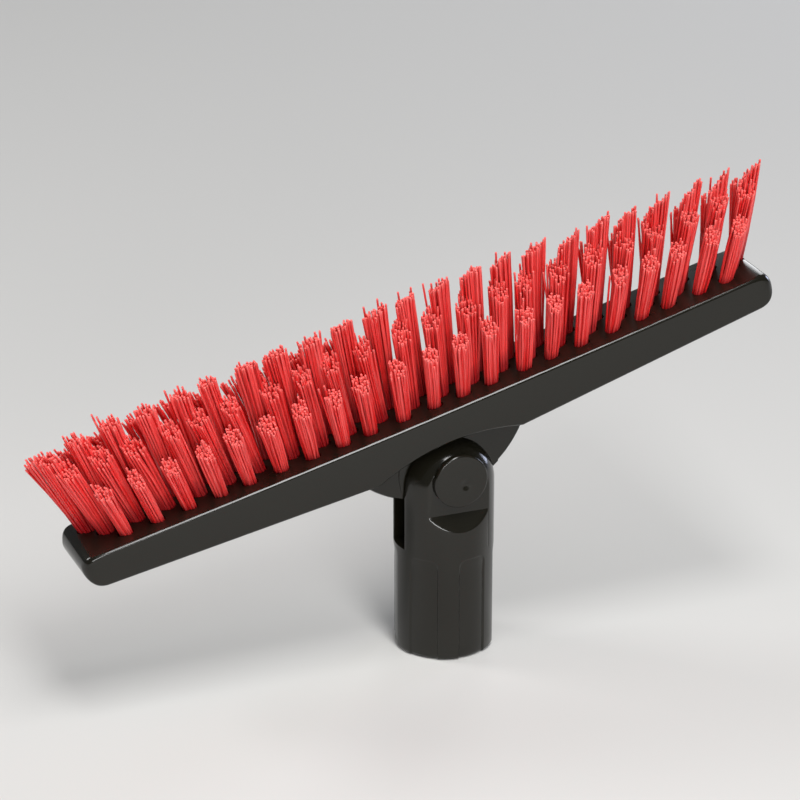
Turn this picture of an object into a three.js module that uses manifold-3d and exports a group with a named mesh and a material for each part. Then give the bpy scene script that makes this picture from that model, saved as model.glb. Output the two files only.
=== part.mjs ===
// Swivel grout brush: a black block with three rows of red bristles, pinned in a forked handle socket.
// Millimetres, +Z up. The origin is the centre of the socket's mouth, and the socket's axis is Z.
// The pivot pin lies along Y, with its head at the front (-Y). The head leans as far as REST_TILT.

import * as THREE from 'three';
import { mergeVertices } from 'three/addons/utils/BufferGeometryUtils.js';
import Module from 'manifold-3d';

const wasm = await Module();
wasm.setup();

// Handle socket
const SOCKET_RADIUS = 15.4;
const MOUTH_CHAMFER = 1;
const PIN_HEIGHT = 59.2;
const DOME_CENTRE_DROP = 4.4;
const DOME_STEPS = 14;
const SLOT_WIDTH = 8.8;
const SLOT_FLOOR = 35;
const FLAT_OFFSET = 11.65;
const FLAT_FOOT_DROP = 11.5;
const RAMP_HEIGHT = 5;
const FLUTE_COUNT = 6;
const FLUTE_DEPTH = 0.5;
const FLUTE_ANGLE = THREE.MathUtils.degToRad(35);
const FLUTE_PHASE = THREE.MathUtils.degToRad(14);
const FLUTE_TOP = 33.5;
const FLUTE_CORNER = 2.5;

// Handle thread: the common wooden broom-handle screw, 3/4 in across with 5 turns to the inch
const THREAD_PITCH = 5.08;
const THREAD_CREST_RADIUS = 8.3;
const THREAD_ROOT_RADIUS = 9.7;
const THREAD_DEPTH = 28;
const THREAD_LEAD_IN = 2.2;
const GROOVE_HALF_SHARE = 0.36;
const GROOVE_FLANK_SHARE = 0.2;
const BORE_TIP = 1.5;
const RINGS_PER_TURN = 6;
const THREAD_SIDES = 24;

// Pivot pin
const PIN_RADIUS = 4.55;
const PIN_HOLE_RADIUS = 4.95;
const PIN_HEAD_RADIUS = 8.5;
const PIN_HEAD_THICKNESS = 2.5;
const PIN_HEAD_ROUND = 0.5;
const PIN_GAP = 0.3;
const PIN_DIMPLE_RADIUS = 1.8;
const PIN_DIMPLE_DEPTH = 0.4;
const PIN_DIMPLE_OFFSET = new THREE.Vector2(1.4, -1.2);
const SNAP_RADIUS = 5.9;
const SNAP_LENGTH = 2.6;
const SNAP_TIP_RADIUS = 4.1;
const SNAP_SLOT_WIDTH = 1.8;
const SNAP_SLOT_DEPTH = 10;

// Brush block, in the head's own frame: the pin axis is its origin and the bristles point along +Z
const REST_TILT = THREE.MathUtils.degToRad(15);
const BLOCK_LENGTH = 229.6;
const BLOCK_WIDTH = 25.4;
const BLOCK_TOP = 23;
const BLOCK_BOW = 0.94 / 100 ** 2;
const BLOCK_BOTTOM_MIDDLE = 7;
const BLOCK_BOTTOM_END = 13.8;
const END_TOP_ROUND = 4.3;
const END_BOTTOM_ROUND = 6;
const BLOCK_SHIFT = -2.1;
const FRONT_CORNER = 3;
const BACK_CORNER = 2.6;
const LUG_THICKNESS = 7.6;
const LUG_RADIUS = 33;
const LUG_CENTRE = 24.75;
const LUG_ROOT = 11;
const PAD_THICKNESS = 8.2;
const PAD_RADIUS = 16.2;
const RELIEF_TOP = 12.8;
const RELIEF_RADIUS = 67.5;

// Bristles: tufts in three staggered rows, raked to the front, fanned along the block, each cut on a slant
const ROW_SPACING = 5.4;
const STRANDS_ROUND_TUFT = 5;
const STRAND_RADIUS = 0.6;
const STRAND_RING = 1.4;
const STRAND_SPREAD = 1.3;
const STRAND_ROOT = 0.9;
const SLICE_THICKNESS = 1.4;
const SLICE_GAP = 0.3;
const SLICE_REACH = 111;
const FRONT_ROW = { tufts: 21, pitch: 10, y: -ROW_SPACING, height: 20.8, rake: 0.45, fan: 0.225 };
const MIDDLE_ROW = { tufts: 22, pitch: 10, y: 0, height: 28.6, rake: 0.36, fan: 0.25 };
const BACK_ROW = { tufts: 23, pitch: 9.94, y: ROW_SPACING, height: 36.6, rake: 0.42, fan: 0.165 };
const ROWS = [
  { name: 'bristle_row_front', ...FRONT_ROW, slant: 1.4, slantGain: 0 },
  { name: 'bristle_row_middle', ...MIDDLE_ROW, slant: 1.3, slantGain: 0 },
  { name: 'bristle_row_back', ...BACK_ROW, slant: -0.4, slantGain: -0.8 },
];

const ROUND_SIDES = 64;
const FINE_SIDES = 32;
const DIMPLE_SIDES = 16;
const CORNER_SEGMENTS = 6;
const REACH = 40;
const OVERCUT = 1;

const blackPlastic = { color: 0x1b1a17, roughness: 0.32, metalness: 0 };
const redFilament = { color: 0xd8403e, roughness: 0.45, metalness: 0 };

// A closed geometry as a solid that can be joined and cut
function solid(geometry) {
  const bare = geometry.clone();
  bare.deleteAttribute('normal');
  bare.deleteAttribute('uv');
  const merged = mergeVertices(bare);
  const corners = merged.index.array;
  const kept = [];
  for (let i = 0; i < corners.length; i += 3) {
    const [a, b, c] = corners.slice(i, i + 3);
    if (a !== b && b !== c && c !== a) kept.push(a, b, c);
  }
  return new wasm.Manifold(new wasm.Mesh({
    numProp: 3,
    vertProperties: merged.attributes.position.array,
    triVerts: new Uint32Array(kept),
  }));
}

function meshOf(name, body, finish) {
  const { vertProperties, triVerts } = body.getMesh();
  const geometry = new THREE.BufferGeometry();
  geometry.setAttribute('position', new THREE.BufferAttribute(vertProperties, 3));
  geometry.setIndex(new THREE.BufferAttribute(triVerts, 1));
  geometry.computeVertexNormals();
  const mesh = new THREE.Mesh(geometry, new THREE.MeshStandardMaterial(finish));
  mesh.name = name;
  return mesh;
}

// An outline drawn in X and Z, as a slab from one Y to another
function slab(shape, yLow, yHigh, curveSegments = 24) {
  const depth = yHigh - yLow;
  const geometry = new THREE.ExtrudeGeometry(shape, { depth, bevelEnabled: false, curveSegments });
  geometry.rotateX(Math.PI / 2);
  geometry.translate(0, yHigh, 0);
  return solid(geometry);
}

// A round bar along Y
function barAlongY(radius, yLow, yHigh, sides) {
  const geometry = new THREE.CylinderGeometry(radius, radius, yHigh - yLow, sides);
  geometry.translate(0, (yLow + yHigh) / 2, 0);
  return solid(geometry);
}

function polygon(points) {
  return new THREE.Shape(points.map(([x, y]) => new THREE.Vector2(x, y)));
}

// The turned blank of the socket: a cylinder with its mouth edge broken, under a round dome
function socketBlank() {
  const centre = PIN_HEIGHT - DOME_CENTRE_DROP;
  const profile = [
    new THREE.Vector2(0, 0),
    new THREE.Vector2(SOCKET_RADIUS - MOUTH_CHAMFER, 0),
    new THREE.Vector2(SOCKET_RADIUS, MOUTH_CHAMFER),
  ];
  for (let i = 0; i < DOME_STEPS; i += 1) {
    const rise = (Math.PI / 2) * (i / DOME_STEPS);
    profile.push(new THREE.Vector2(SOCKET_RADIUS * Math.cos(rise), centre + SOCKET_RADIUS * Math.sin(rise)));
  }
  profile.push(new THREE.Vector2(0, centre + SOCKET_RADIUS));
  const geometry = new THREE.LatheGeometry(profile, ROUND_SIDES);
  geometry.rotateX(Math.PI / 2);
  return solid(geometry);
}

// What is cut away in front of an ear: a flat around the pin, with a ramp out to the round wall below it
function flatCutter(side) {
  const foot = PIN_HEIGHT - FLAT_FOOT_DROP;
  const rampSlope = RAMP_HEIGHT / (SOCKET_RADIUS - FLAT_OFFSET);
  const outer = SOCKET_RADIUS + OVERCUT;
  const section = polygon([
    [FLAT_OFFSET, PIN_HEIGHT + REACH],
    [FLAT_OFFSET, foot],
    [outer, foot - rampSlope * (outer - FLAT_OFFSET)],
    [outer, PIN_HEIGHT + REACH],
  ]);
  const geometry = new THREE.ExtrudeGeometry(section, { depth: 2 * REACH, bevelEnabled: false });
  geometry.translate(0, 0, -REACH);
  geometry.rotateX(Math.PI / 2);
  geometry.rotateZ(side * Math.PI / 2);
  return solid(geometry);
}

// One shallow grip flute, open at the mouth and round-cornered at the top
function fluteCutter(index) {
  const halfWidth = SOCKET_RADIUS * Math.sin(FLUTE_ANGLE / 2);
  const shape = new THREE.Shape();
  shape.moveTo(-halfWidth, -OVERCUT);
  shape.lineTo(halfWidth, -OVERCUT);
  shape.lineTo(halfWidth, FLUTE_TOP - FLUTE_CORNER);
  shape.absarc(halfWidth - FLUTE_CORNER, FLUTE_TOP - FLUTE_CORNER, FLUTE_CORNER, 0, Math.PI / 2);
  shape.absarc(FLUTE_CORNER - halfWidth, FLUTE_TOP - FLUTE_CORNER, FLUTE_CORNER, Math.PI / 2, Math.PI);
  const geometry = new THREE.ExtrudeGeometry(
    shape, { depth: SOCKET_RADIUS, bevelEnabled: false, curveSegments: CORNER_SEGMENTS });
  geometry.rotateX(Math.PI / 2);
  geometry.translate(0, -SOCKET_RADIUS / 2, 0);
  geometry.rotateZ(FLUTE_PHASE + index * 2 * Math.PI / FLUTE_COUNT);
  const core = new THREE.CylinderGeometry(
    SOCKET_RADIUS - FLUTE_DEPTH, SOCKET_RADIUS - FLUTE_DEPTH, 3 * REACH, ROUND_SIDES);
  core.rotateX(Math.PI / 2);
  return solid(geometry).subtract(solid(core));
}

// The radius of the thread's groove at an angle and a height: a trapezoid once in each turn
function threadRadius(angle, z) {
  const turn = z / THREAD_PITCH - angle / (2 * Math.PI);
  const phase = Math.abs(turn - Math.round(turn));
  const share = THREE.MathUtils.clamp((GROOVE_HALF_SHARE - phase) / GROOVE_FLANK_SHARE, 0, 1);
  return THREAD_CREST_RADIUS + (THREAD_ROOT_RADIUS - THREAD_CREST_RADIUS) * share;
}

// The hollow of the socket: a threaded hole with a coned tip and a coned lead-in at the mouth
function threadedHollow() {
  const rings = Math.round(THREAD_DEPTH / THREAD_PITCH * RINGS_PER_TURN);
  const profile = [new THREE.Vector2(0, -OVERCUT)];
  for (let i = 0; i <= rings; i += 1) {
    profile.push(new THREE.Vector2(THREAD_CREST_RADIUS, (THREAD_DEPTH + OVERCUT) * i / rings - OVERCUT));
  }
  profile.push(new THREE.Vector2(0, THREAD_DEPTH + BORE_TIP));
  const geometry = new THREE.LatheGeometry(profile, THREAD_SIDES);
  const position = geometry.attributes.position;
  for (let i = 0; i < position.count; i += 1) {
    const x = position.getX(i);
    const z = position.getZ(i);
    if (Math.hypot(x, z) > THREAD_CREST_RADIUS / 2) {
      const angle = Math.atan2(x, z);
      const radius = threadRadius(angle, position.getY(i));
      position.setX(i, radius * Math.sin(angle));
      position.setZ(i, radius * Math.cos(angle));
    }
  }
  geometry.rotateX(Math.PI / 2);
  const leadIn = new THREE.CylinderGeometry(
    THREAD_CREST_RADIUS, THREAD_CREST_RADIUS + 2 * THREAD_LEAD_IN, 2 * THREAD_LEAD_IN, ROUND_SIDES);
  leadIn.rotateX(Math.PI / 2);
  return solid(geometry).add(solid(leadIn));
}

function handleSocket() {
  let body = socketBlank();
  const slot = polygon([
    [-REACH, SLOT_FLOOR],
    [REACH, SLOT_FLOOR],
    [REACH, PIN_HEIGHT + REACH],
    [-REACH, PIN_HEIGHT + REACH],
  ]);
  body = body.subtract(slab(slot, -SLOT_WIDTH / 2, SLOT_WIDTH / 2));
  for (const side of [1, -1]) {
    body = body.subtract(flatCutter(side));
  }
  const pinHole = barAlongY(PIN_HOLE_RADIUS, -REACH, REACH, FINE_SIDES).translate([0, 0, PIN_HEIGHT]);
  body = body.subtract(pinHole).subtract(threadedHollow());
  for (let i = 0; i < FLUTE_COUNT; i += 1) {
    body = body.subtract(fluteCutter(i));
  }
  return meshOf('handle_socket', body, blackPlastic);
}

// Turned about Y: a broad head at the front, a plain shank, and a barbed snap end split by a slot
function pivotPin() {
  const headBack = -FLAT_OFFSET - PIN_GAP;
  const headFront = headBack - PIN_HEAD_THICKNESS;
  const snapStart = FLAT_OFFSET + PIN_GAP;
  const snapEnd = snapStart + SNAP_LENGTH;
  const profile = [
    new THREE.Vector2(0, headFront),
    new THREE.Vector2(PIN_HEAD_RADIUS - PIN_HEAD_ROUND, headFront),
    new THREE.Vector2(PIN_HEAD_RADIUS, headFront + PIN_HEAD_ROUND),
    new THREE.Vector2(PIN_HEAD_RADIUS, headBack),
    new THREE.Vector2(PIN_RADIUS, headBack),
    new THREE.Vector2(PIN_RADIUS, snapStart),
    new THREE.Vector2(SNAP_RADIUS, snapStart + PIN_GAP),
    new THREE.Vector2(SNAP_TIP_RADIUS, snapEnd),
    new THREE.Vector2(0, snapEnd),
  ];
  const dimple = new THREE.SphereGeometry(PIN_DIMPLE_RADIUS, DIMPLE_SIDES, DIMPLE_SIDES / 2);
  dimple.translate(
    PIN_DIMPLE_OFFSET.x, headFront - PIN_DIMPLE_RADIUS + PIN_DIMPLE_DEPTH, PIN_DIMPLE_OFFSET.y);
  const slot = new THREE.BoxGeometry(4 * SNAP_RADIUS, SNAP_SLOT_DEPTH, SNAP_SLOT_WIDTH);
  slot.translate(0, snapEnd + OVERCUT - SNAP_SLOT_DEPTH / 2, 0);
  const turned = solid(new THREE.LatheGeometry(profile, ROUND_SIDES));
  const body = turned.subtract(solid(dimple)).subtract(solid(slot));
  const mesh = meshOf('pivot_pin', body, blackPlastic);
  mesh.position.z = PIN_HEIGHT;
  return mesh;
}

function blockTop(x) {
  return BLOCK_TOP + BLOCK_BOW * x * x;
}

function blockBottom(x) {
  return BLOCK_BOTTOM_MIDDLE + (BLOCK_BOTTOM_END - BLOCK_BOTTOM_MIDDLE) * Math.abs(x) / (BLOCK_LENGTH / 2);
}

// The bowed line of the bristle face between two ends, as a parabola lowered by a depth
function topCurve(shape, fromX, toX, depth) {
  const control = BLOCK_TOP + BLOCK_BOW * fromX * toX - depth;
  shape.quadraticCurveTo((fromX + toX) / 2, control, toX, blockTop(toX) - depth);
}

// The block's front view: bowed on top, thickest over the pin, with round ends
function blockOutline() {
  const half = BLOCK_LENGTH / 2;
  const endTop = blockTop(half);
  const endBottom = blockBottom(half);
  const shape = new THREE.Shape();
  shape.moveTo(0, blockBottom(0));
  shape.lineTo(half - END_BOTTOM_ROUND, blockBottom(half - END_BOTTOM_ROUND));
  shape.quadraticCurveTo(half, endBottom, half, endBottom + END_BOTTOM_ROUND);
  shape.lineTo(half, endTop - END_TOP_ROUND);
  shape.quadraticCurveTo(half, endTop, half - END_TOP_ROUND, blockTop(half - END_TOP_ROUND));
  topCurve(shape, half - END_TOP_ROUND, END_TOP_ROUND - half, 0);
  shape.quadraticCurveTo(-half, endTop, -half, endTop - END_TOP_ROUND);
  shape.lineTo(-half, endBottom + END_BOTTOM_ROUND);
  shape.quadraticCurveTo(-half, endBottom, END_BOTTOM_ROUND - half, blockBottom(half - END_BOTTOM_ROUND));
  return shape;
}

// The block seen from above, with its upright edges rounded
function planPrism() {
  const x = BLOCK_LENGTH / 2;
  const y = BLOCK_WIDTH / 2;
  const shape = new THREE.Shape();
  shape.absarc(x - BACK_CORNER, y - BACK_CORNER, BACK_CORNER, 0, Math.PI / 2);
  shape.absarc(BACK_CORNER - x, y - BACK_CORNER, BACK_CORNER, Math.PI / 2, Math.PI);
  shape.absarc(FRONT_CORNER - x, FRONT_CORNER - y, FRONT_CORNER, Math.PI, 1.5 * Math.PI);
  shape.absarc(x - FRONT_CORNER, FRONT_CORNER - y, FRONT_CORNER, 1.5 * Math.PI, 2 * Math.PI);
  return solid(new THREE.ExtrudeGeometry(
    shape, { depth: REACH, bevelEnabled: false, curveSegments: CORNER_SEGMENTS }));
}

// The swivel lug under the block: a segment of a disc
function lugOutline() {
  const halfAngle = Math.acos((LUG_CENTRE - LUG_ROOT) / LUG_RADIUS);
  const shape = new THREE.Shape();
  shape.absarc(0, LUG_CENTRE, LUG_RADIUS, -Math.PI / 2 - halfAngle, -Math.PI / 2 + halfAngle);
  return shape;
}

// The disc that hollows the block's underside on both sides of the lug, so that the ears can swing
function reliefOutline() {
  const shape = new THREE.Shape();
  shape.absarc(0, RELIEF_TOP - RELIEF_RADIUS, RELIEF_RADIUS, 0, 2 * Math.PI);
  return shape;
}

function blockBody() {
  const half = BLOCK_WIDTH / 2;
  let body = slab(blockOutline(), -half, half).intersect(planPrism()).translate([BLOCK_SHIFT, 0, 0]);
  for (const [yLow, yHigh] of [[-REACH, -LUG_THICKNESS / 2], [LUG_THICKNESS / 2, REACH]]) {
    body = body.subtract(slab(reliefOutline(), yLow, yHigh, 2 * ROUND_SIDES));
  }
  body = body.add(slab(lugOutline(), -LUG_THICKNESS / 2, LUG_THICKNESS / 2));
  const pad = barAlongY(PAD_RADIUS, -PAD_THICKNESS / 2, PAD_THICKNESS / 2, ROUND_SIDES);
  body = body.add(pad.intersect(slab(lugOutline(), -REACH, REACH)));
  return body.subtract(barAlongY(PIN_HOLE_RADIUS, -REACH, REACH, FINE_SIDES));
}

function tuftX(row, index) {
  return (index - (row.tufts - 1) / 2) * row.pitch;
}

// The stretch of the bristle face between two Y, down to a depth
function faceBand(yLow, yHigh, reach, depth) {
  const shape = new THREE.Shape();
  shape.moveTo(-reach, blockTop(reach) - depth);
  topCurve(shape, -reach, reach, depth);
  shape.lineTo(reach, REACH);
  shape.lineTo(-reach, REACH);
  return slab(shape, yLow, yHigh);
}

// The block with the shallow pocket that the three rows' slices fill
function brushBlock(body) {
  const halfWidth = 1.5 * ROW_SPACING + SLICE_GAP / 2;
  const pocket = faceBand(-halfWidth, halfWidth, SLICE_REACH + SLICE_GAP, SLICE_THICKNESS + SLICE_GAP);
  return meshOf('brush_block', body.subtract(pocket), blackPlastic);
}

// One strand of a tuft: a three-sided bar from inside the slice to the slanted cut
function strand(row, x, offset) {
  const height = row.height + (row.slant + row.slantGain * x / 100) * offset.y;
  const lean = row.fan * x / 100;
  const foot = new THREE.Vector3(
    x + offset.x - lean * STRAND_ROOT,
    row.y + offset.y + row.rake * STRAND_ROOT,
    blockTop(x) - STRAND_ROOT);
  const tip = new THREE.Vector3(
    x + STRAND_SPREAD * offset.x + lean * height,
    row.y + STRAND_SPREAD * offset.y - row.rake * height,
    blockTop(x) + height);
  const along = tip.clone().sub(foot);
  const geometry = new THREE.CylinderGeometry(STRAND_RADIUS, STRAND_RADIUS, along.length(), 3);
  geometry.translate(0, along.length() / 2, 0);
  const turn = new THREE.Quaternion().setFromUnitVectors(new THREE.Vector3(0, 1, 0), along.normalize());
  geometry.applyQuaternion(turn);
  geometry.translate(foot.x, foot.y, foot.z);
  return solid(geometry);
}

// A row of tufts on the slice of the block that holds it
function bristleRow(row, body) {
  const halfWidth = (ROW_SPACING - SLICE_GAP) / 2;
  let joined = body.intersect(faceBand(row.y - halfWidth, row.y + halfWidth, SLICE_REACH, SLICE_THICKNESS));
  for (let i = 0; i < row.tufts; i += 1) {
    const x = tuftX(row, i);
    joined = joined.add(strand(row, x, new THREE.Vector2(0, 0)));
    for (let k = 0; k < STRANDS_ROUND_TUFT; k += 1) {
      const angle = Math.PI / 2 + k * 2 * Math.PI / STRANDS_ROUND_TUFT;
      const offset = new THREE.Vector2(Math.cos(angle), Math.sin(angle)).multiplyScalar(STRAND_RING);
      joined = joined.add(strand(row, x, offset));
    }
  }
  return meshOf(row.name, joined, redFilament);
}

const head = new THREE.Group();
head.position.z = PIN_HEIGHT;
head.rotation.y = -REST_TILT;
const uncutBlock = blockBody();
head.add(brushBlock(uncutBlock));
for (const row of ROWS) {
  head.add(bristleRow(row, uncutBlock));
}

const brush = new THREE.Group();
brush.add(handleSocket(), pivotPin(), head);

export default brush;
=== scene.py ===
"""Swivel grout brush: a black moulded block with three rows of red tufts, pinned in a forked handle socket."""

import math
import random

import bpy
from mathutils import Matrix, Vector


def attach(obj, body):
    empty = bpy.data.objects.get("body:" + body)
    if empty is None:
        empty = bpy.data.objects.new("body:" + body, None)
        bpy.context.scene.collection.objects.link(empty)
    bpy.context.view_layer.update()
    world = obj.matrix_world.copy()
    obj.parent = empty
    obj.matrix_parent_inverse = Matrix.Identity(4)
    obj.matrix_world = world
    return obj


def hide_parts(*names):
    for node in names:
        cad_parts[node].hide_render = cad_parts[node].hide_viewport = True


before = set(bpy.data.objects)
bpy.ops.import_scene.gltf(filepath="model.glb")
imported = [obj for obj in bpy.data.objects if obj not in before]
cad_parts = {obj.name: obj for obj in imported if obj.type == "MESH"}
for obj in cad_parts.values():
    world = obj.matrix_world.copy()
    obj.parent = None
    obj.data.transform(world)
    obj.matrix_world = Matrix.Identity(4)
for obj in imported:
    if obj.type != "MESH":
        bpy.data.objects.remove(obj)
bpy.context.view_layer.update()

# Sizes are in millimetres; a mesh, a lamp and the camera are in metres
MM = 0.001

# Modelling: how near two points are merged, how far a cutting tool reaches past what it cuts, and the steepest edges
# that are shaded smooth, in degrees
MERGE = 0.01
WRAP_MERGE = 0.002
FINE_MERGE = 0.001
TOOL_REACH = 20
TOOL_CLEAR = 2
MOULDED_SMOOTH = 32
PIN_SMOOTH = 30
FILAMENT_SMOOTH = 75

# The block and its bristles are drawn square to the pin, then tilted to where the photo shows them
PIN_HEIGHT = 59.2
REST_TILT = math.radians(15)

# Brush block, measured from the pin's axis
BLOCK_HALF = 114.8
BLOCK_SHIFT = -2.1
BLOCK_HALF_WIDTH = 12.7
BLOCK_TOP = 23.0
BLOCK_BOW = 0.94e-4
BLOCK_BOTTOM_MIDDLE = 7.0
BLOCK_BOTTOM_END = 13.8
END_TOP_ROUND = 4.4
END_BOTTOM_ROUND = 5.9
FRONT_CORNER = 3.3
BACK_CORNER = 3.2
LONG_EDGE_ROUND = 1.0
END_EDGE_ROUND = 2.6
END_BACK_ROUND = 2.0
END_BLEND = 9.0
THICKEST_ROUND = 0.49
EDGE_STEPS = 5
LUG_HALF = 3.8
LUG_RADIUS = 33.0
LUG_CENTRE = 24.75
LUG_EDGE = 0.5
PAD_RADIUS = 16.2
PAD_HALF = 4.1
PAD_INSET = 0.2
RELIEF_TOP = 12.8
RELIEF_RADIUS = 67.5
PIN_HOLE = 4.95

# Where the block's outline is drawn: steps in the blend at an end, steps from the pin to past the lug, and between
END_STATIONS = 15
LUG_STATIONS = 26
LUG_REACH = 31.0
BETWEEN_STATIONS = [40, 55, 70, 85, 97]

# Handle socket, measured from its mouth
SOCKET_RADIUS = 15.4
DOME_CENTRE = 54.8
DOME_STEPS = 28
MOUTH_ROUND = 1.5
SLOT_HALF = 4.4
SLOT_FLOOR = 35.0
FLAT_OFFSET = 11.65
FLAT_FOOT = 47.7
RAMP_FOOT = 42.7
EAR_EDGE = 0.45
EAR_STEPS = 11

# The rim of an ear's flat: where the dome stops behind it, and each outline's place behind the flat and its inset
FLAT_RIM_START = 0.3
FLAT_INSET = 0.16
FLAT_RIM = [(0.08, 0.05), (0.0, FLAT_INSET)]

# The ramp under the flat: its edge, how soon that is full, its share of a narrow outline, and where the ramp stops
RAMP_EDGE = 0.85
RAMP_EDGE_GROWTH = 0.9
RAMP_EDGE_SHARE = 0.6
RAMP_EDGE_STEPS = 5
RAMP_HALF_STEPS = 9
RAMP_STEPS = 14
RAMP_STOP = 0.04

# Grip flutes: the wall is a smooth step, and the depth fades out towards the round top
FLUTE_COUNT = 6
FLUTE_PHASE = math.radians(14)
FLUTE_ANGLE = math.radians(35)
FLUTE_DEPTH = 0.5
FLUTE_WALL = 0.5
FLUTE_WALL_LEAD = 0.4
FLUTE_FADE = 5.0
FLUTE_TOP_SHARE = 0.2
FLUTE_TOP = 33.5
FLUTE_CORNER = 2.5

# Where the barrel's grid has its lines: out from a flute's middle, and up from the mouth, close together at the wall
LINES_ACROSS = [1.1, 2.2, 2.55, 2.9, 3.25, 3.6, 3.9, 4.15, 4.35,
                4.45, 4.55, 4.65, 4.75, 4.85, 4.95, 5.1, 6.1, 7.1]
LINES_UP = [4, 12, 20, 28, 30.0, 30.9, 31.25, 31.6, 31.95, 32.3, 32.6, 32.85,
            33.05, 33.2, 33.3, 33.4, 33.5, 33.6, 33.7, 34.1, SLOT_FLOOR]

# Handle bore and its thread
BORE_RADIUS = 8.3
BORE_DEPTH = 28.0
BORE_LEAD_IN = 2.2
BORE_POINT = 1.5
THREAD_PITCH = 5.08
THREAD_ROOT = 9.7
THREAD_ROOT_HALF = 0.8
THREAD_MOUTH_HALF = 1.6
THREAD_INSIDE = 0.6
THREAD_START = 2.5
THREAD_TURNS = 4.6
THREAD_STEPS = 36

# Pivot pin, along Y
HEAD_RADIUS = 8.5
HEAD_FRONT = -14.45
HEAD_BACK = -11.95
HEAD_FRONT_ROUND = 0.6
HEAD_BACK_ROUND = 0.7
SHANK_RADIUS = 4.55
SNAP_RADIUS = 5.9
SNAP_END = 14.55
SNAP_TIP_RADIUS = 4.4
SNAP_CHAMFER = 0.3
SPLIT_HALF = 0.9
SPLIT_REACH = 12
SPLIT_START = 5.5

# The shallow dimple in the pin's head, and the rings of the head's face that it is pressed into
DIMPLE_PLACE = (1.4, -1.2)
DIMPLE_RADIUS = 2.6
DIMPLE_DEPTH = 0.55
FACE_RINGS = 12
FACE_RING_STEP = 0.4
FACE_THICKNESS = 0.1

# Tuft holes: the room round a tuft, the chamfer at the mouth, and the drill's height above the block
HOLE_DEPTH = 3.0
HOLE_ROOM = 0.35
HOLE_CHAMFER = 0.35
HOLE_LIP = 0.15
DRILL_ABOVE = 1

# Filaments: bars with a slight bow, set in the block by a share of the hole's depth
FILAMENT_RADIUS = 0.345
FILAMENT_SIDES = 5
FILAMENT_BOWS = (0.0, 0.5, 0.9, 1.4)
FILAMENT_JOINTS = [0, 0.3, 0.6, 0.85, 1]
FILAMENTS_PER_TUFT = 41
FILAMENT_SET = 0.85
FILAMENT_SEED = 11
GOLDEN_ANGLE = math.pi * (3 - math.sqrt(5))

# How much filaments and tufts differ: of a tuft's rake, a foot's place and a tip's place, and of a tuft's spread
RAKE_SCATTER = 0.012
FOOT_SCATTER = 0.06
TIP_SCATTER = 0.2
SPREAD_RANGE = (0.6, 1.4)

# A few filaments stray: how many, how much taller they are, and how much further their tips drift
STRAY_SHARE = 0.055
STRAY_RISE = (0.6, 3.8)
STRAY_DRIFT = 4.5

# No tip stands further to the front than this
FOREMOST = -16.3

# Rows of tufts. The filaments lean to the front by rake and out along the block by fan. The pairs trim (how the cut
# end climbs across the block), shift (how far the tips stand along it) and climb (how the cut end climbs along it)
# are a value at the pin and its growth over TREND_SPAN. A tuft's rise falls from the crest (place, rise) by one square
# law to the left and one to the right. Hold is the foot's share of the shift, sway and uneven are how far shifts and
# rises differ, and the end values belong to the leftmost tuft. A larger shade carries the painted shade at the foot
# further up.
TREND_SPAN = 100
ROWS = {
    "bristle_row_front": dict(
        count=21, pitch=10.0, y=-5.4, radius=1.95, height=20.8, rake=0.45, fan=0.225, trim=(1.4, 0.0), ragged=0.5,
        crest=(10.0, 0.6), fall=(1.8e-4, 1.5e-4), uneven=0.7, shift=(0.2, 0.7), sway=0.8, hold=0.8,
        climb=(0.0, 0.0), spread=0.013, end_lean=0.0, end_spread=0.0, shade=1.0, seed=3),
    "bristle_row_middle": dict(
        count=22, pitch=10.0, y=0.0, radius=2.25, height=28.6, rake=0.36, fan=0.25, trim=(1.3, 0.0), ragged=0.65,
        crest=(0.0, 0.6), fall=(0.5e-4, 0.8e-4), uneven=0.8, shift=(-0.4, 0.0), sway=1.4, hold=0.4,
        climb=(0.0, 0.0), spread=0.013, end_lean=0.0, end_spread=0.0, shade=1.4, seed=5),
    "bristle_row_back": dict(
        count=23, pitch=9.94, y=5.4, radius=2.4, height=37.0, rake=0.42, fan=0.16, trim=(-0.8, -0.9), ragged=0.75,
        crest=(-35.0, 2.6), fall=(8.8e-4, 3.4e-4), uneven=0.8, shift=(-0.6, 0.0), sway=0.9, hold=0.25,
        climb=(0.45, 0.75), spread=0.011, end_lean=-2.3, end_spread=0.018, shade=1.5, seed=8),
}

# Rear filaments that stand upright behind the back tufts, in three stretches from the left: how many tufts, how far
# along the block from each tuft, and how tall
LOOSE_STRETCHES = ((10, -2.8, 28.4), (6, 1.2, 25.0), (7, -0.6, 24.5))
LOOSE = [place for tufts, *place in LOOSE_STRETCHES for _ in range(tufts)]
LOOSE_PER_TUFT = 24
LOOSE_TALL_SCATTER = 0.8
LOOSE_RAGGED = 1.0
LOOSE_SET = 0.5

# The patch that their feet stand on and the one that their tips fill: half its size along and across the block, and
# how far behind the row's line it lies
LOOSE_FOOT_HALF = (2.1, 0.9)
LOOSE_FOOT_BEHIND = 1.2
LOOSE_TIP_HALF = (3.3, 2.0)
LOOSE_TIP_BEHIND = -2.5

# Painted shade: they stand in the shade of the tufts, so only the deeper tones are drawn
LOOSE_SHADED_TONES = 0.35

# Finishes
BLACK = (0.0070, 0.0062, 0.0035)
BLACK_IOR = 1.47
PEBBLE_HEIGHT = 0.02
TUFTED_FACE = (-math.sin(REST_TILT), 0, math.cos(REST_TILT))
TUFTED_FACING = (0.965, 0.995)
RED_DEEP = (0.76, 0.02, 0.02, 1)
RED_LIGHT = (0.98, 0.1, 0.095, 1)
RED_CUT_END = (0.97, 0.22, 0.2, 1)
# Painted shade at the filaments' feet, where the block and the other tufts keep the light out
RED_FOOT_PAINTED_SHADE = (0.36, 0.006, 0.012, 1)
FLOOR_COLOUR = (0.64, 0.63, 0.61, 1)
SKY_COLOUR = (0.9, 0.95, 1.0, 1)
SKY_STRENGTH = 0.12

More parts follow.
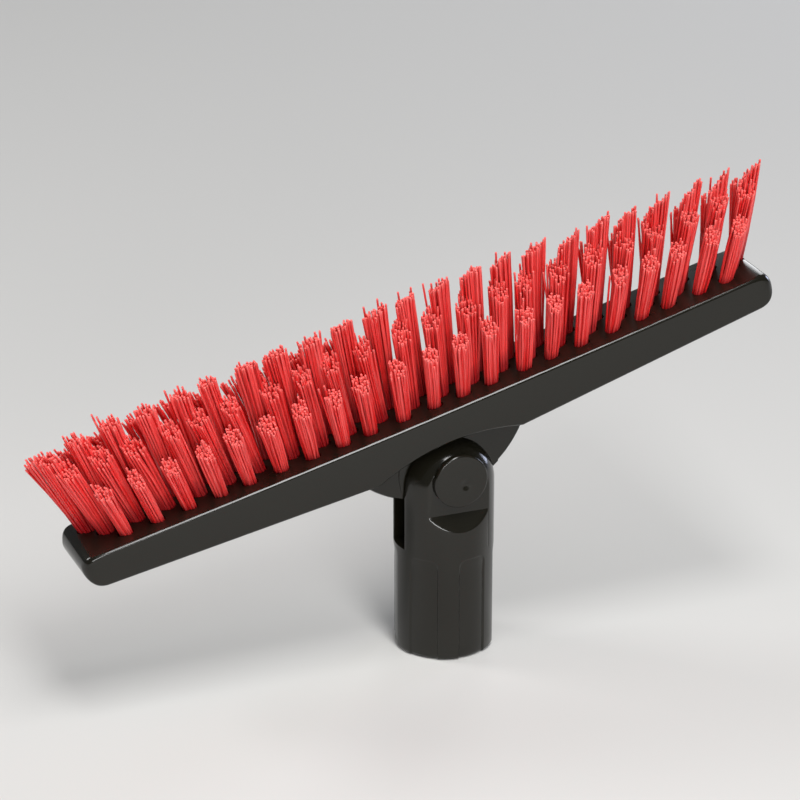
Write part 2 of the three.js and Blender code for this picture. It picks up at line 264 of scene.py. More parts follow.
# Lamps in metres: name, place, aim, size, watts and colour
LAMPS = (
    ("overhead", (-0.035, -0.55, 1.05), (-0.035, 0, 0.1), (0.29, 1.1), 14.3, (1, 1, 1)),
    ("front", (-0.30, -1.43, 0.42), (0, 0, 0.09), (0.72, 0.3), 8.5, (1, 1, 1)),
    ("right_back", (0.78, 1.32, 0.47), (0, 0, 0.1), (0.5, 0.85), 4.5, (0.97, 0.98, 1)),
    ("right", (1.2, 0.55, 0.24), (0, 0, 0.1), (0.4, 0.4), 3.6, (0.72, 0.78, 1)),
    ("left_back", (-1.0, 0.75, 0.8), (0, 0, 0.05), (0.5, 0.5), 5.5, (1, 1, 1)),
)

# The photo's camera, fitted to the block's edges, the tufts' feet and the socket
CAMERA_YAW = math.radians(21.604)
CAMERA_RISE = math.radians(22.928)
CAMERA_TARGET = (-14.321, 0, 82.515)
CAMERA_DISTANCE = 1139.44
CAMERA_LENS = 170.76
CAMERA_SENSOR = 36


# Modelling helpers

def start_alone():
    """Leaves edit mode and selects nothing, so that an operator touches only what comes next."""
    if bpy.context.mode != "OBJECT":
        bpy.ops.object.mode_set(mode="OBJECT")
    bpy.ops.object.select_all(action="DESELECT")


def take(piece):
    """Selects one piece alone and makes it the active one."""
    start_alone()
    piece.select_set(True)
    bpy.context.view_layer.objects.active = piece
    return piece


def edit_all(piece):
    """Opens a piece in edit mode with all its points selected."""
    take(piece)
    bpy.ops.object.mode_set(mode="EDIT")
    bpy.ops.mesh.select_mode(type="VERT")
    bpy.ops.mesh.select_all(action="SELECT")


def tidy_shell(piece, distance=MERGE):
    """Merges doubled points and turns every face outwards."""
    edit_all(piece)
    bpy.ops.mesh.remove_doubles(threshold=distance * MM)
    bpy.ops.mesh.normals_make_consistent(inside=False)
    bpy.ops.object.mode_set(mode="OBJECT")
    return piece


def fill_ends():
    """Fills the open ends of the piece in edit mode."""
    bpy.ops.mesh.select_all(action="DESELECT")
    bpy.ops.mesh.select_non_manifold()
    bpy.ops.mesh.fill_holes(sides=0)


def drawn_line(name, points):
    """A line drawn from point to point by extruding one vertex."""
    start_alone()
    bpy.ops.mesh.primitive_plane_add(size=MM)
    piece = bpy.context.object
    piece.name = name
    edit_all(piece)
    bpy.ops.mesh.merge(type="CENTER")
    bpy.ops.transform.translate(value=Vector(points[0]) * MM)
    for here, there in zip(points, points[1:]):
        step = (Vector(there) - Vector(here)) * MM
        bpy.ops.mesh.extrude_vertices_move(TRANSFORM_OT_translate={"value": step})
    bpy.ops.object.mode_set(mode="OBJECT")
    return piece


def drawn_slab(name, outline, near, far):
    """A closed outline of (x, z) points, filled and extruded from one Y to another."""
    ring = [(x, near, z) for x, z in outline]
    piece = drawn_line(name, ring + ring[:1])
    edit_all(piece)
    bpy.ops.mesh.remove_doubles(threshold=FINE_MERGE * MM)
    bpy.ops.mesh.edge_face_add()
    bpy.ops.mesh.extrude_region_move(TRANSFORM_OT_translate={"value": (0, (far - near) * MM, 0)})
    return tidy_shell(piece, FINE_MERGE)


def turned(name, profile, axis, steps):
    """A profile of (radius, along) points that starts and ends on the axis, spun all round it."""
    if axis == "Z":
        points, direction = [(r, 0, a) for r, a in profile], (0, 0, 1)
    else:
        points, direction = [(r, a, 0) for r, a in profile], (0, 1, 0)
    piece = drawn_line(name, points)
    edit_all(piece)
    bpy.ops.mesh.spin(steps=steps, angle=2 * math.pi, center=(0, 0, 0), axis=direction)
    return tidy_shell(piece)


def turned_disc(name, radius, half, steps):
    """A plain disc or rod along Y, centred on the pin's axis."""
    return turned(name, [(0, -half), (radius, -half), (radius, half), (0, half)], "Y", steps)


def wrapped(name, loops):
    """A grid wrapped through a row of closed outlines that have as many points each, filled at both ends."""
    rows, around = len(loops) - 1, len(loops[0])
    start_alone()
    bpy.ops.mesh.primitive_grid_add(x_subdivisions=rows, y_subdivisions=around, size=1)
    piece = bpy.context.object
    piece.name = name
    for point in piece.data.vertices:
        row = round((point.co.x + 0.5) * rows)
        place = round((point.co.y + 0.5) * around) % around
        point.co = Vector(loops[row][place]) * MM
    edit_all(piece)
    bpy.ops.mesh.remove_doubles(threshold=WRAP_MERGE * MM)
    fill_ends()
    return tidy_shell(piece, WRAP_MERGE)


def arc(centre_r, centre_a, radius, start, end, count):
    """Points of a round corner in a profile, from one angle to another in degrees."""
    angles = [math.radians(start + (end - start) * i / count) for i in range(count + 1)]
    return [(centre_r + radius * math.cos(t), centre_a + radius * math.sin(t)) for t in angles]


def cut(piece, tool, operation="DIFFERENCE"):
    """Joins or cuts a piece with a tool, which is used up. Both have to be closed."""
    take(piece)
    boolean = piece.modifiers.new("cut", "BOOLEAN")
    boolean.operation = operation
    boolean.solver = "MANIFOLD"
    boolean.object = tool
    bpy.ops.object.modifier_apply(modifier=boolean.name)
    bpy.data.objects.remove(tool)
    return piece


def joined(copies):
    """Makes one piece of many."""
    start_alone()
    for copy in copies:
        copy.select_set(True)
    bpy.context.view_layer.objects.active = copies[0]
    bpy.ops.object.join()
    return bpy.context.object


def shade_smooth(piece, angle):
    """Shades a piece smooth, apart from edges steeper than an angle in degrees."""
    take(piece)
    bpy.ops.object.shade_smooth_by_angle(angle=math.radians(angle))
    return piece


def lift_to_pin(piece):
    """Moves a piece drawn round the pin's axis up to the axis's height in the frame."""
    piece.data.transform(Matrix.Translation((0, 0, PIN_HEIGHT * MM)))
    return piece


def set_in_head(piece):
    """Moves a piece drawn square to the pin's axis to the head's place in the frame."""
    take(piece)
    piece.rotation_euler = (0, -REST_TILT, 0)
    piece.location = (0, 0, PIN_HEIGHT * MM)
    bpy.ops.object.transform_apply(location=True, rotation=True, scale=True)
    return piece


# Materials

def link(tree, source, target):
    """Joins an output to an input."""
    tree.links.new(source, target)


def noise(tree, place, scale, detail):
    """A noise value at a place."""
    node = tree.nodes.new("ShaderNodeTexNoise")
    node.inputs["Scale"].default_value = scale
    node.inputs["Detail"].default_value = detail
    link(tree, place, node.inputs["Vector"])
    return node.outputs["Fac"]


def ranged(tree, value, span, result):
    """A value carried from one span over to another."""
    node = tree.nodes.new("ShaderNodeMapRange")
    for label, limit in zip(("From Min", "From Max", "To Min", "To Max"), (*span, *result)):
        node.inputs[label].default_value = limit
    link(tree, value, node.inputs["Value"])
    return node.outputs["Result"]


def worked_out(tree, operation, *values):
    """The result of a sum on other values."""
    node = tree.nodes.new("ShaderNodeMath")
    node.operation = operation
    for value, entry in zip(values, node.inputs):
        link(tree, value, entry)
    return node.outputs["Value"]


def mixed(tree, share, colour, other):
    """A colour with a share of another one, which is given as a value."""
    node = tree.nodes.new("ShaderNodeMix")
    node.data_type = "RGBA"
    node.inputs["B"].default_value = other
    link(tree, share, node.inputs["Factor"])
    link(tree, colour, node.inputs["A"])
    return node


def parts_of(tree, vector):
    """The X, Y and Z outputs of a vector."""
    node = tree.nodes.new("ShaderNodeSeparateXYZ")
    link(tree, vector, node.inputs["Vector"])
    return node.outputs


def moulded_surface_group():
    """The skin of a moulding: a faint mottle in its gloss, a fine pebble in its relief and dust on what faces up."""
    group = bpy.data.node_groups.new("moulded_surface", "ShaderNodeTree")
    sockets = group.interface
    dust_colour = (0.2, 0.18, 0.16, 1)
    for label, kind, default in (
        ("Colour", "NodeSocketColor", (0.01, 0.01, 0.01, 1)),
        ("Dust colour", "NodeSocketColor", dust_colour),
        ("Dust", "NodeSocketFloat", 0.02),
        ("Gloss", "NodeSocketFloat", 0.2),
        ("Mottle", "NodeSocketFloat", 0.06),
    ):
        socket = sockets.new_socket(name=label, in_out="INPUT", socket_type=kind)
        socket.default_value = default
    for label, kind in (
        ("Colour", "NodeSocketColor"),
        ("Roughness", "NodeSocketFloat"),
        ("Height", "NodeSocketFloat"),
    ):
        sockets.new_socket(name=label, in_out="OUTPUT", socket_type=kind)
    given = group.nodes.new("NodeGroupInput").outputs
    out = group.nodes.new("NodeGroupOutput").inputs
    place = group.nodes.new("ShaderNodeTexCoord").outputs["Object"]
    broad = noise(group, place, 55, 3)
    fine = noise(group, place, 900, 2)
    swing = ranged(group, broad, (0.3, 0.7), (-0.5, 0.5))
    rough = worked_out(group, "MULTIPLY_ADD", swing, given["Mottle"], given["Gloss"])
    normal = group.nodes.new("ShaderNodeNewGeometry").outputs["Normal"]
    upward = ranged(group, parts_of(group, normal)["Z"], (0.2, 1), (0, 1))
    settled = worked_out(group, "MULTIPLY", upward, broad)
    share = worked_out(group, "MULTIPLY", settled, given["Dust"])
    dusted = mixed(group, share, given["Colour"], dust_colour)
    link(group, given["Dust colour"], dusted.inputs["B"])
    link(group, dusted.outputs["Result"], out["Colour"])
    link(group, rough, out["Roughness"])
    link(group, fine, out["Height"])
    return group


def black_moulding(name, group, colour, gloss, pebble, dull=0.0):
    """Black moulded plastic with its own gloss and grain, duller on a face that lies as the tufted one does."""
    material = bpy.data.materials.new(name)
    material.use_nodes = True
    tree = material.node_tree
    shader = tree.nodes["Principled BSDF"]
    skin = tree.nodes.new("ShaderNodeGroup")
    skin.node_tree = group
    skin.inputs["Colour"].default_value = (*colour, 1)
    skin.inputs["Gloss"].default_value = gloss
    link(tree, skin.outputs["Colour"], shader.inputs["Base Color"])
    place = tree.nodes.new("ShaderNodeTexCoord")
    facing = tree.nodes.new("ShaderNodeVectorMath")
    facing.operation = "DOT_PRODUCT"
    facing.inputs[1].default_value = TUFTED_FACE
    link(tree, place.outputs["Normal"], facing.inputs[0])
    duller = ranged(tree, facing.outputs["Value"], TUFTED_FACING, (0, dull))
    rough = worked_out(tree, "ADD", skin.outputs["Roughness"], duller)
    link(tree, rough, shader.inputs["Roughness"])
    bump = tree.nodes.new("ShaderNodeBump")
    bump.inputs["Strength"].default_value = pebble
    bump.inputs["Distance"].default_value = PEBBLE_HEIGHT * MM
    link(tree, skin.outputs["Height"], bump.inputs["Height"])
    link(tree, bump.outputs["Normal"], shader.inputs["Normal"])
    shader.inputs["IOR"].default_value = BLACK_IOR
    return material


def red_filament():
    """Drawn red filament: each one a little lighter or deeper, paler at its cut end, with painted shade at its foot.

    The map called strand holds a filament's tone across and the place along it, from foot to tip, upwards.
    """
    material = bpy.data.materials.new("red_filament")
    material.use_nodes = True
    tree = material.node_tree
    shader = tree.nodes["Principled BSDF"]
    strand = tree.nodes.new("ShaderNodeUVMap")
    strand.uv_map = "strand"
    parts = parts_of(tree, strand.outputs["UV"])
    lightness, along = parts["X"], parts["Y"]
    tone = tree.nodes.new("ShaderNodeValToRGB")
    for stop, position, colour in zip(tone.color_ramp.elements, (0.0, 1.0), (RED_DEEP, RED_LIGHT)):
        stop.position = position
        stop.color = colour
    link(tree, lightness, tone.inputs["Fac"])
    cut_end = ranged(tree, along, (0.93, 1.0), (0, 0.6))
    pale = mixed(tree, cut_end, tone.outputs["Color"], RED_CUT_END)
    # Painted shade: the filament darkens towards its foot, where the light is kept out
    foot = ranged(tree, along, (0.09, 0.24), (0.75, 0.0))
    foot_shaded = mixed(tree, foot, pale.outputs["Result"], RED_FOOT_PAINTED_SHADE)
    link(tree, foot_shaded.outputs["Result"], shader.inputs["Base Color"])
    link(tree, ranged(tree, lightness, (0, 1), (0.24, 0.36)), shader.inputs["Roughness"])
    shader.inputs["IOR"].default_value = 1.5
    shader.inputs["Subsurface Weight"].default_value = 0.3
    shader.inputs["Subsurface Radius"].default_value = (1.0, 0.25, 0.2)
    shader.inputs["Subsurface Scale"].default_value = 0.6 * MM
    return material


# Brush block

def block_top(x):
    """The height of the bowed top above the pin's axis."""
    return BLOCK_TOP + BLOCK_BOW * x * x


def quarter(radius, depth):
    """How far a round end has still to rise at a depth in from its tip."""
    if depth >= radius:
        return 0.0
    return radius - math.sqrt(radius * radius - (radius - depth) ** 2)


def block_section(x):
    """The block's outline across its width at one place along it, as (y, z) points."""
    from_end = BLOCK_HALF - abs(x - BLOCK_SHIFT)
    top = block_top(x) - quarter(END_TOP_ROUND, from_end)
    slope = (BLOCK_BOTTOM_END - BLOCK_BOTTOM_MIDDLE) / BLOCK_HALF
    bottom = BLOCK_BOTTOM_MIDDLE + slope * abs(x - BLOCK_SHIFT) + quarter(END_BOTTOM_ROUND, from_end)
    front = -BLOCK_HALF_WIDTH + quarter(FRONT_CORNER, from_end)
    back = BLOCK_HALF_WIDTH - quarter(BACK_CORNER, from_end)
    under = bottom
    if abs(x) < RELIEF_RADIUS / 2:
        under = max(bottom, RELIEF_TOP - RELIEF_RADIUS + math.sqrt(RELIEF_RADIUS ** 2 - x * x))
    lug = under
    if abs(x) < LUG_RADIUS:
        lug = min(under, LUG_CENTRE - math.sqrt(LUG_RADIUS ** 2 - x * x))
    step = min(LUG_EDGE, under - lug)
    blend = max(0.0, 1 - from_end / END_BLEND) ** 2
    most = THICKEST_ROUND * (top - under)
    f = min(LONG_EDGE_ROUND + (END_EDGE_ROUND - LONG_EDGE_ROUND) * blend, most)
    b = min(LONG_EDGE_ROUND + (END_BACK_ROUND - LONG_EDGE_ROUND) * blend, most)
    u = min(LONG_EDGE_ROUND, most)
    points = arc(front + f, top - f, f, 180, 90, EDGE_STEPS)
    points += arc(back - b, top - b, b, 90, 0, EDGE_STEPS)
    points += arc(back - u, under + u, u, 0, -90, EDGE_STEPS)
    points += [(LUG_HALF, under), (LUG_HALF, lug + step), (LUG_HALF - step, lug)]
    points += [(step - LUG_HALF, lug), (-LUG_HALF, lug + step), (-LUG_HALF, under)]
    points += arc(front + u, under + u, u, 270, 180, EDGE_STEPS)
    return points


def block_stations():
    """Where the block's outline is drawn: close together at its ends and round the lug."""
    ends = [BLOCK_HALF - END_BLEND * (i / END_STATIONS) ** 2 for i in range(END_STATIONS + 1)]
    middle = [LUG_REACH * i / LUG_STATIONS for i in range(LUG_STATIONS + 1)]
    outer = BETWEEN_STATIONS + ends
    right = sorted(middle + [BLOCK_SHIFT + x for x in outer])
    left = sorted([-x for x in middle[1:]] + [BLOCK_SHIFT - x for x in outer])
    return left + right


def make_block():
    """A grid wrapped round the block's sections and closed at its ends, then drilled for the pin and the tufts."""
    block = wrapped("block", [[(x, y, z) for y, z in block_section(x)] for x in block_stations()])
    pad = turned_disc("lug_pad", PAD_RADIUS, PAD_HALF, 96)
    disc = turned_disc("lug_disc", LUG_RADIUS - PAD_INSET, 9, 160)
    disc.data.transform(Matrix.Translation((0, 0, LUG_CENTRE * MM)))
    cut(block, cut(pad, disc, "INTERSECT"), "UNION")
    cut(block, turned_disc("pin_bore", PIN_HOLE, TOOL_REACH, 48))
    cut(block, tuft_drill())
    shade_smooth(block, MOULDED_SMOOTH)
    return set_in_head(block)


def trend(pair, x):
    """A value that changes evenly along the block."""
    return pair[0] + pair[1] * x / TREND_SPAN


def tuft_places(row):
    """Where along the block each tuft of a row stands, with its shifts, its rise, its climb and its spread.

    The rises fall away from the row's crest, as in the photo. The unevenness is drawn from the row's own seed.
    """
    chance = random.Random(row["seed"])
    crest, crest_rise = row["crest"]
    for i in range(row["count"]):
        x = (i - (row["count"] - 1) / 2) * row["pitch"]
        rise = crest_rise - row["fall"][x > crest] * (x - crest) ** 2 + chance.uniform(-1, 1) * row["uneven"]
        tip_shift = trend(row["shift"], x) + chance.uniform(-1, 1) * row["sway"]
        foot_shift = row["hold"] * tip_shift
        climb = trend(row["climb"], x)
        spread = row["spread"] * chance.uniform(*SPREAD_RANGE)
        if i == 0:
            tip_shift += row["end_lean"]
            spread += row["end_spread"]
        yield x + foot_shift, (foot_shift, tip_shift, rise, climb, spread)


def tuft_drill():
    """All the tuft holes as one tool: a stepped drill, copied to every place and leant as its tuft leans."""
    copies = []
    for row in ROWS.values():
        wide = row["radius"] + HOLE_ROOM
        mouth = wide + HOLE_CHAMFER
        profile = [(0, -HOLE_DEPTH), (wide, -HOLE_DEPTH), (wide, -HOLE_CHAMFER),
                   (mouth, HOLE_LIP), (mouth, DRILL_ABOVE), (0, DRILL_ABOVE)]
        drill = turned("drill", profile, "Z", 20)
        for x, (foot_shift, tip_shift, *_) in tuft_places(row):
            copy = drill.copy()
            copy.data = drill.data.copy()
            bpy.context.collection.objects.link(copy)
            along = row["fan"] * x / TREND_SPAN + (tip_shift - foot_shift) / row["height"]
            lean = Vector((along, -row["rake"], 1)).normalized()
            turn = Vector((0, 0, 1)).rotation_difference(lean).to_matrix().to_4x4()
            copy.data.transform(Matrix.Translation(Vector((x, row["y"], block_top(x))) * MM) @ turn)
            copies.append(copy)
        bpy.data.objects.remove(drill)
    return joined(copies)


# Handle socket

def flute_depth(across, z):
    """How deep a grip flute is at a distance across from its middle line: nothing outside its round-topped outline."""
    half = SOCKET_RADIUS * FLUTE_ANGLE / 2
    side, top = half - abs(across), FLUTE_TOP - z
    inside = min(side, top)
    if side < FLUTE_CORNER and top < FLUTE_CORNER:
        inside = FLUTE_CORNER - math.hypot(FLUTE_CORNER - side, FLUTE_CORNER - top)
    share = min(1.0, max(0.0, inside / FLUTE_WALL + FLUTE_WALL_LEAD))
    fade = min(1.0, FLUTE_TOP_SHARE + max(0.0, top) / FLUTE_FADE)
    return FLUTE_DEPTH * fade * (0.5 - 0.5 * math.cos(math.pi * share))


def make_barrel():
    """The round lower part: rings from the mouth to the floor of the slot, close together at the flutes' edges."""
    half_pitch = SOCKET_RADIUS * math.pi / FLUTE_COUNT
    across = [-s for s in reversed(LINES_ACROSS)] + [0.0] + LINES_ACROSS + [half_pitch]
    rim = [(SOCKET_RADIUS + r, z) for r, z in arc(-MOUTH_ROUND, MOUTH_ROUND, MOUTH_ROUND, -90, 0, 6)]
    rings = []
    for radius, z in rim + [(SOCKET_RADIUS, z) for z in LINES_UP]:
        ring = []
        for i in range(FLUTE_COUNT):
            for s in across:
                turn = FLUTE_PHASE + (i + s / (2 * half_pitch)) * 2 * math.pi / FLUTE_COUNT
                r = radius - flute_depth(s, z)
                ring.append((r * math.sin(turn), -r * math.cos(turn), z))
        rings.append(ring)
    return wrapped("barrel", rings)


def ear_loop(y, inset, top):
    """One outline across an ear: under the dome where top is None, else cut off level at that height."""
    half = math.sqrt(max(0.0, SOCKET_RADIUS ** 2 - y * y)) - inset
    if top is None:
        shoulder, crown = FLAT_FOOT, arc(0, DOME_CENTRE, half, 180, 0, DOME_STEPS)
    else:
        corner = min(RAMP_EDGE * min(1.0, (abs(y) - FLAT_OFFSET) / RAMP_EDGE_GROWTH), half * RAMP_EDGE_SHARE)
        shoulder = top - corner
        crown = arc(corner - half, shoulder, corner, 180, 90, RAMP_EDGE_STEPS)
        crown += [((half - corner) * (i / RAMP_HALF_STEPS - 1), top) for i in range(1, 2 * RAMP_HALF_STEPS)]
        crown += arc(half - corner, shoulder, corner, 90, 0, RAMP_EDGE_STEPS)
    side = [SLOT_FLOOR, (SLOT_FLOOR + shoulder) / 2, shoulder]
    outline = [(-half, z) for z in side] + crown + [(half, z) for z in reversed(side)]
    return [(x, y, z) for x, z in outline]


def make_ear():
    """The front ear, as outlines from the slot out to the front: a dome cut flat round the pin, with a ramp below."""
    loops = []
    for turn in (0, 30, 60, 90):
        t = math.radians(turn)
        loops.append(ear_loop(-SLOT_HALF - EAR_EDGE * (1 - math.cos(t)), EAR_EDGE * (1 - math.sin(t)), None))
    inner = math.acos((SLOT_HALF + EAR_EDGE) / SOCKET_RADIUS)
    outer = math.acos((FLAT_OFFSET - FLAT_RIM_START) / SOCKET_RADIUS)
    for i in range(1, EAR_STEPS + 1):
        loops.append(ear_loop(-SOCKET_RADIUS * math.cos(inner + (outer - inner) * i / EAR_STEPS), 0, None))
    for behind, inset in FLAT_RIM:
        loops.append(ear_loop(behind - FLAT_OFFSET, inset, None))
    slope = (FLAT_FOOT - RAMP_FOOT) / (SOCKET_RADIUS - FLAT_OFFSET)
    foot = math.acos(FLAT_OFFSET / SOCKET_RADIUS)
    for i in range(RAMP_STEPS + 1):
        y = SOCKET_RADIUS * math.cos(RAMP_STOP + (foot - RAMP_STOP) * (1 - i / RAMP_STEPS))
        drop = slope * (y - FLAT_OFFSET)
        loops.append(ear_loop(-y, FLAT_INSET if i == 0 else 0.0, FLAT_FOOT - drop))
    return wrapped("ear", loops)


def thread_tool():
    """The handle thread's groove: its section swept up a screw line and closed at both ends."""
    inside = BORE_RADIUS - THREAD_INSIDE
    section = [(inside, THREAD_MOUTH_HALF), (THREAD_ROOT, THREAD_ROOT_HALF),
               (THREAD_ROOT, -THREAD_ROOT_HALF), (inside, -THREAD_MOUTH_HALF)]
    ring = [(r, 0, z + THREAD_START) for r, z in section]
    tool = drawn_line("thread", ring + ring[:1])
    edit_all(tool)
    bpy.ops.mesh.remove_doubles(threshold=FINE_MERGE * MM)
    take(tool)
    screw = tool.modifiers.new("screw", "SCREW")
    screw.angle = 2 * math.pi * THREAD_TURNS
    screw.screw_offset = THREAD_PITCH * THREAD_TURNS * MM
    screw.steps = round(THREAD_STEPS * THREAD_TURNS)
    screw.render_steps = screw.steps
    bpy.ops.object.modifier_apply(modifier=screw.name)
    edit_all(tool)
    fill_ends()
    return tidy_shell(tool, FINE_MERGE)


def make_socket():
    """A fluted barrel bored and threaded for the handle, with an ear on each side of the slot."""
    socket = make_barrel()
    socket.name = "socket"
    bore = [(0, -TOOL_CLEAR), (BORE_RADIUS + BORE_LEAD_IN + TOOL_CLEAR, -TOOL_CLEAR), (BORE_RADIUS, BORE_LEAD_IN),
            (BORE_RADIUS, BORE_DEPTH), (0, BORE_DEPTH + BORE_POINT)]
    cut(socket, turned("bore", bore, "Z", 72))
    cut(socket, thread_tool())
    for turn in (0, math.pi):
        ear = make_ear()
        ear.data.transform(Matrix.Rotation(turn, 4, "Z"))
        cut(socket, ear, "UNION")
    cut(socket, lift_to_pin(turned_disc("ear_hole", PIN_HOLE, TOOL_REACH, 48)))
    return shade_smooth(socket, MOULDED_SMOOTH)


# Pivot pin

def press_dimple(pin):
    """Presses the soft-edged dimple into the face of the pin's head."""
    for point in pin.data.vertices:
        away = math.hypot(point.co.x / MM - DIMPLE_PLACE[0], point.co.z / MM - DIMPLE_PLACE[1])
        if away < DIMPLE_RADIUS and point.co.y < (HEAD_FRONT + FACE_THICKNESS) * MM:
            point.co.y += DIMPLE_DEPTH * (0.5 + 0.5 * math.cos(math.pi * away / DIMPLE_RADIUS)) * MM


def make_pin():
    """A turned pin with a broad flat head in front and a split snap end behind."""
    profile = [(FACE_RING_STEP * i, HEAD_FRONT) for i in range(FACE_RINGS)]
    profile += arc(HEAD_RADIUS - HEAD_FRONT_ROUND, HEAD_FRONT + HEAD_FRONT_ROUND, HEAD_FRONT_ROUND, -90, 0, 5)
    profile += arc(HEAD_RADIUS - HEAD_BACK_ROUND, HEAD_BACK - HEAD_BACK_ROUND, HEAD_BACK_ROUND, 0, 90, 4)
    profile += [(SHANK_RADIUS, HEAD_BACK), (SHANK_RADIUS, -HEAD_BACK)]
    profile += [(SNAP_RADIUS, SNAP_CHAMFER - HEAD_BACK), (SNAP_TIP_RADIUS, SNAP_END - SNAP_CHAMFER)]
    profile += [(SNAP_TIP_RADIUS - SNAP_CHAMFER, SNAP_END), (0, SNAP_END)]
    pin = turned("pin", profile, "Y", 96)
    press_dimple(pin)
    split = [(-SPLIT_REACH, -SPLIT_HALF), (SPLIT_REACH, -SPLIT_HALF),
             (SPLIT_REACH, SPLIT_HALF), (-SPLIT_REACH, SPLIT_HALF)]
    cut(pin, drawn_slab("split", split, SPLIT_START, TOOL_REACH))
    return shade_smooth(lift_to_pin(pin), PIN_SMOOTH)


# Bristles

def filament_pattern(name, bend):
    """One filament a unit long: a five-sided bar, extruded in four lengths along a slight bow."""
    start_alone()
    bpy.ops.mesh.primitive_circle_add(vertices=FILAMENT_SIDES, radius=1, fill_type="NGON")
    pattern = bpy.context.object
    pattern.name = name
    edit_all(pattern)
    for low, high in zip(FILAMENT_JOINTS, FILAMENT_JOINTS[1:]):
        sway = bend * (math.sin(math.pi * high) - math.sin(math.pi * low))
        bpy.ops.mesh.extrude_region_move(TRANSFORM_OT_translate={"value": (sway, 0, high - low)})
    return tidy_shell(pattern, FINE_MERGE)


def packed(k, count, turn=0.0):
    """The place of one of many filaments packed evenly in a unit circle."""
    angle = turn + k * GOLDEN_ANGLE
    return Vector((math.cos(angle), math.sin(angle))) * math.sqrt((k + 0.5) / count)


def looks_drawn(chance, tone_range_and_shade=1.0):
    """A filament's tone, which pattern it copies, and how that is rolled. A tone range below one keeps to the deeper
    tones, as painted shade.
    """
    return tone_range_and_shade * chance.random(), chance.randrange(len(FILAMENT_BOWS)), chance.uniform(0, 2 * math.pi)


def tuft_filaments(row, x, tuft, chance):
    """The foot, the tip and the drawn looks of each filament in the tuft at x."""
    foot_shift, tip_shift, rise, climb, spread = tuft
    tall = row["height"] + rise
    lean = row["fan"] * x / TREND_SPAN + (tip_shift - foot_shift) / tall
    rake = row["rake"] + chance.gauss(0, RAKE_SCATTER)
    trim = trend(row["trim"], x)
    turn = chance.uniform(0, 2 * math.pi)
    sunk = HOLE_DEPTH * FILAMENT_SET
    for k in range(FILAMENTS_PER_TUFT):
        out = packed(k, FILAMENTS_PER_TUFT, turn) * row["radius"]
        out += Vector((chance.gauss(0, FOOT_SCATTER), chance.gauss(0, FOOT_SCATTER)))
        height = tall + climb * out.x + trim * out.y + chance.gauss(0, row["ragged"])
        stray = chance.random() < STRAY_SHARE
        if stray:
            height += chance.uniform(*STRAY_RISE)
        flare = 1 + spread * height
        drift = Vector((chance.gauss(0, TIP_SCATTER), chance.gauss(0, TIP_SCATTER))) * (STRAY_DRIFT if stray else 1)
        foot = Vector((x + out.x - lean * sunk, row["y"] + out.y + rake * sunk, block_top(x) - sunk))
        ahead = row["y"] + out.y * flare + drift.y - rake * height
        tip = Vector((x + out.x * flare + drift.x + lean * height, max(ahead, FOREMOST), block_top(x) + height))
        yield foot, tip, *looks_drawn(chance)


def loose_filaments(row, x, place, chance):
    """Filaments at the rear of a back tuft that stand up behind the rest of it."""
    shift, tall = place
    tall += chance.gauss(0, LOOSE_TALL_SCATTER)
    along = x + row["fan"] * x / TREND_SPAN * row["height"] + shift
    for k in range(LOOSE_PER_TUFT):
        out = packed(k, LOOSE_PER_TUFT)
        foot = Vector((x + out.x * LOOSE_FOOT_HALF[0],
                       row["y"] + LOOSE_FOOT_BEHIND + out.y * LOOSE_FOOT_HALF[1],
                       block_top(x) - HOLE_DEPTH * LOOSE_SET))
        tip = Vector((along + out.x * LOOSE_TIP_HALF[0] + chance.gauss(0, TIP_SCATTER),
                      row["y"] + LOOSE_TIP_BEHIND + out.y * LOOSE_TIP_HALF[1] + chance.gauss(0, TIP_SCATTER),
                      block_top(x) + tall + chance.gauss(0, LOOSE_RAGGED)))
        # Only the deeper tones are drawn for these, as painted shade
        yield foot, tip, *looks_drawn(chance, LOOSE_SHADED_TONES)


def make_filament(name, pattern, foot, tip, tone, roll, shade):
    """A copy of a pattern, stretched from a foot to a tip, with its tone and the place along it in its map."""
    along = tip - foot
    turn = along.to_track_quat("Z", "Y").to_matrix().to_4x4()
    size = Matrix.Diagonal((FILAMENT_RADIUS, FILAMENT_RADIUS, along.length, 1))
    mesh = pattern.data.copy()
    strand = mesh.uv_layers.new(name="strand")
    for corner in mesh.loops:
        share = max(0.0, mesh.vertices[corner.vertex_index].co.z)
        # The place along is raised to the row's shade power, which carries the painted shade at the foot further up
        strand.data[corner.index].uv = (tone, share ** shade)
    mesh.transform(Matrix.Translation(foot * MM) @ Matrix.Scale(MM, 4) @ turn @ Matrix.Rotation(roll, 4, "Z") @ size)
    filament = bpy.data.objects.new(name, mesh)
    bpy.context.collection.objects.link(filament)
    return filament


def make_row(name, row, patterns, chance):
    """A row of tufts as one piece, with the loose filaments behind the back row's."""
    filaments = []
    for i, (x, tuft) in enumerate(tuft_places(row)):
        strands = list(tuft_filaments(row, x, tuft, chance))
        if name == "bristle_row_back":
            strands += loose_filaments(row, x, LOOSE[i], chance)
        for foot, tip, tone, bow, roll in strands:
            filaments.append(make_filament(name, patterns[bow], foot, tip, tone, roll, row["shade"]))
    tufts = joined(filaments)
    tufts.name = name.replace("bristle_row", "tufts")
    shade_smooth(tufts, FILAMENT_SMOOTH)
    return set_in_head(tufts)


# The brush

def dress(piece, body, node, material):
    """Gives a piece its material and the body it moves with, and hides the solid that it stands for."""
    piece.data.materials.clear()
    piece.data.materials.append(material)
    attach(piece, body)
    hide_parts(node)


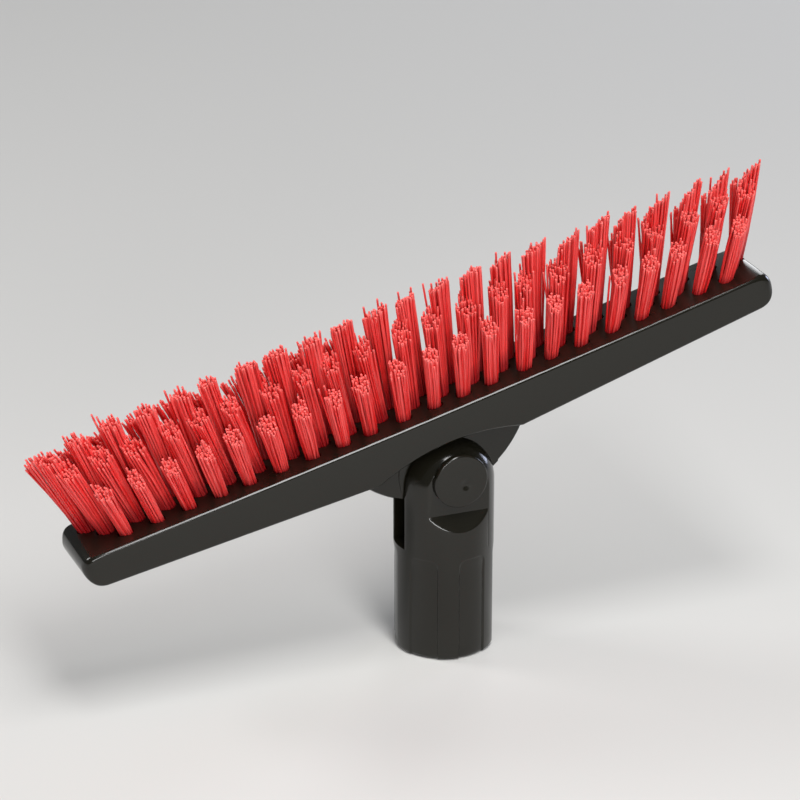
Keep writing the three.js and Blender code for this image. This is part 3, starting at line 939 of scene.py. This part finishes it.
def make_brush():
    """The block, the socket, the pin and the three rows, each with its finish."""
    skin = moulded_surface_group()
    dress(make_block(), "head", "brush_block",
          black_moulding("block_black", skin, BLACK, gloss=0.14, pebble=0.12, dull=0.15))
    dress(make_socket(), "socket_body", "handle_socket",
          black_moulding("socket_black", skin, BLACK, gloss=0.15, pebble=0.12))
    dress(make_pin(), "socket_body", "pivot_pin",
          black_moulding("pin_black", skin, BLACK, gloss=0.17, pebble=0.15))
    filament = red_filament()
    patterns = [filament_pattern(f"pattern_{i}", bend) for i, bend in enumerate(FILAMENT_BOWS)]
    chance = random.Random(FILAMENT_SEED)
    for name, row in ROWS.items():
        dress(make_row(name, row, patterns, chance), "head", name, filament)
    for pattern in patterns:
        bpy.data.objects.remove(pattern)


# Stage

def soft_lamp(name, place, aim, size, watts, colour):
    """A rectangular lamp turned to what it lights."""
    lamp = bpy.data.lights.new(name, "AREA")
    lamp.shape = "RECTANGLE"
    lamp.size, lamp.size_y = size
    lamp.energy = watts
    lamp.color = colour
    holder = bpy.data.objects.new(name, lamp)
    holder.location = place
    holder.rotation_euler = (Vector(aim) - Vector(place)).to_track_quat("-Z", "Y").to_euler()
    bpy.context.collection.objects.link(holder)


def make_stage():
    """A pale floor under the socket's mouth, a faint sky and soft lamps all round."""
    scene = bpy.context.scene
    scene.view_settings.view_transform = "Standard"
    start_alone()
    bpy.ops.mesh.primitive_plane_add(size=6)
    floor = bpy.context.object
    floor.name = "floor"
    paint = bpy.data.materials.new("pale_floor")
    paint.use_nodes = True
    shader = paint.node_tree.nodes["Principled BSDF"]
    shader.inputs["Base Color"].default_value = FLOOR_COLOUR
    shader.inputs["Roughness"].default_value = 0.9
    floor.data.materials.append(paint)
    world = bpy.data.worlds.new("studio")
    world.use_nodes = True
    sky = world.node_tree.nodes["Background"]
    sky.inputs["Color"].default_value = SKY_COLOUR
    sky.inputs["Strength"].default_value = SKY_STRENGTH
    scene.world = world
    for lamp in LAMPS:
        soft_lamp(*lamp)


def make_camera():
    """The photo's camera, looking at the brush from the left and above."""
    level = math.cos(CAMERA_RISE)
    back = Vector((-math.sin(CAMERA_YAW) * level, -math.cos(CAMERA_YAW) * level, math.sin(CAMERA_RISE)))
    lens = bpy.data.cameras.new("camera")
    lens.sensor_width = CAMERA_SENSOR
    lens.lens = CAMERA_LENS
    camera = bpy.data.objects.new("camera", lens)
    camera.location = Vector(CAMERA_TARGET) * MM + back * CAMERA_DISTANCE * MM
    camera.rotation_euler = back.to_track_quat("Z", "Y").to_euler()
    bpy.context.collection.objects.link(camera)
    bpy.context.scene.camera = camera


make_brush()
make_stage()
make_camera()
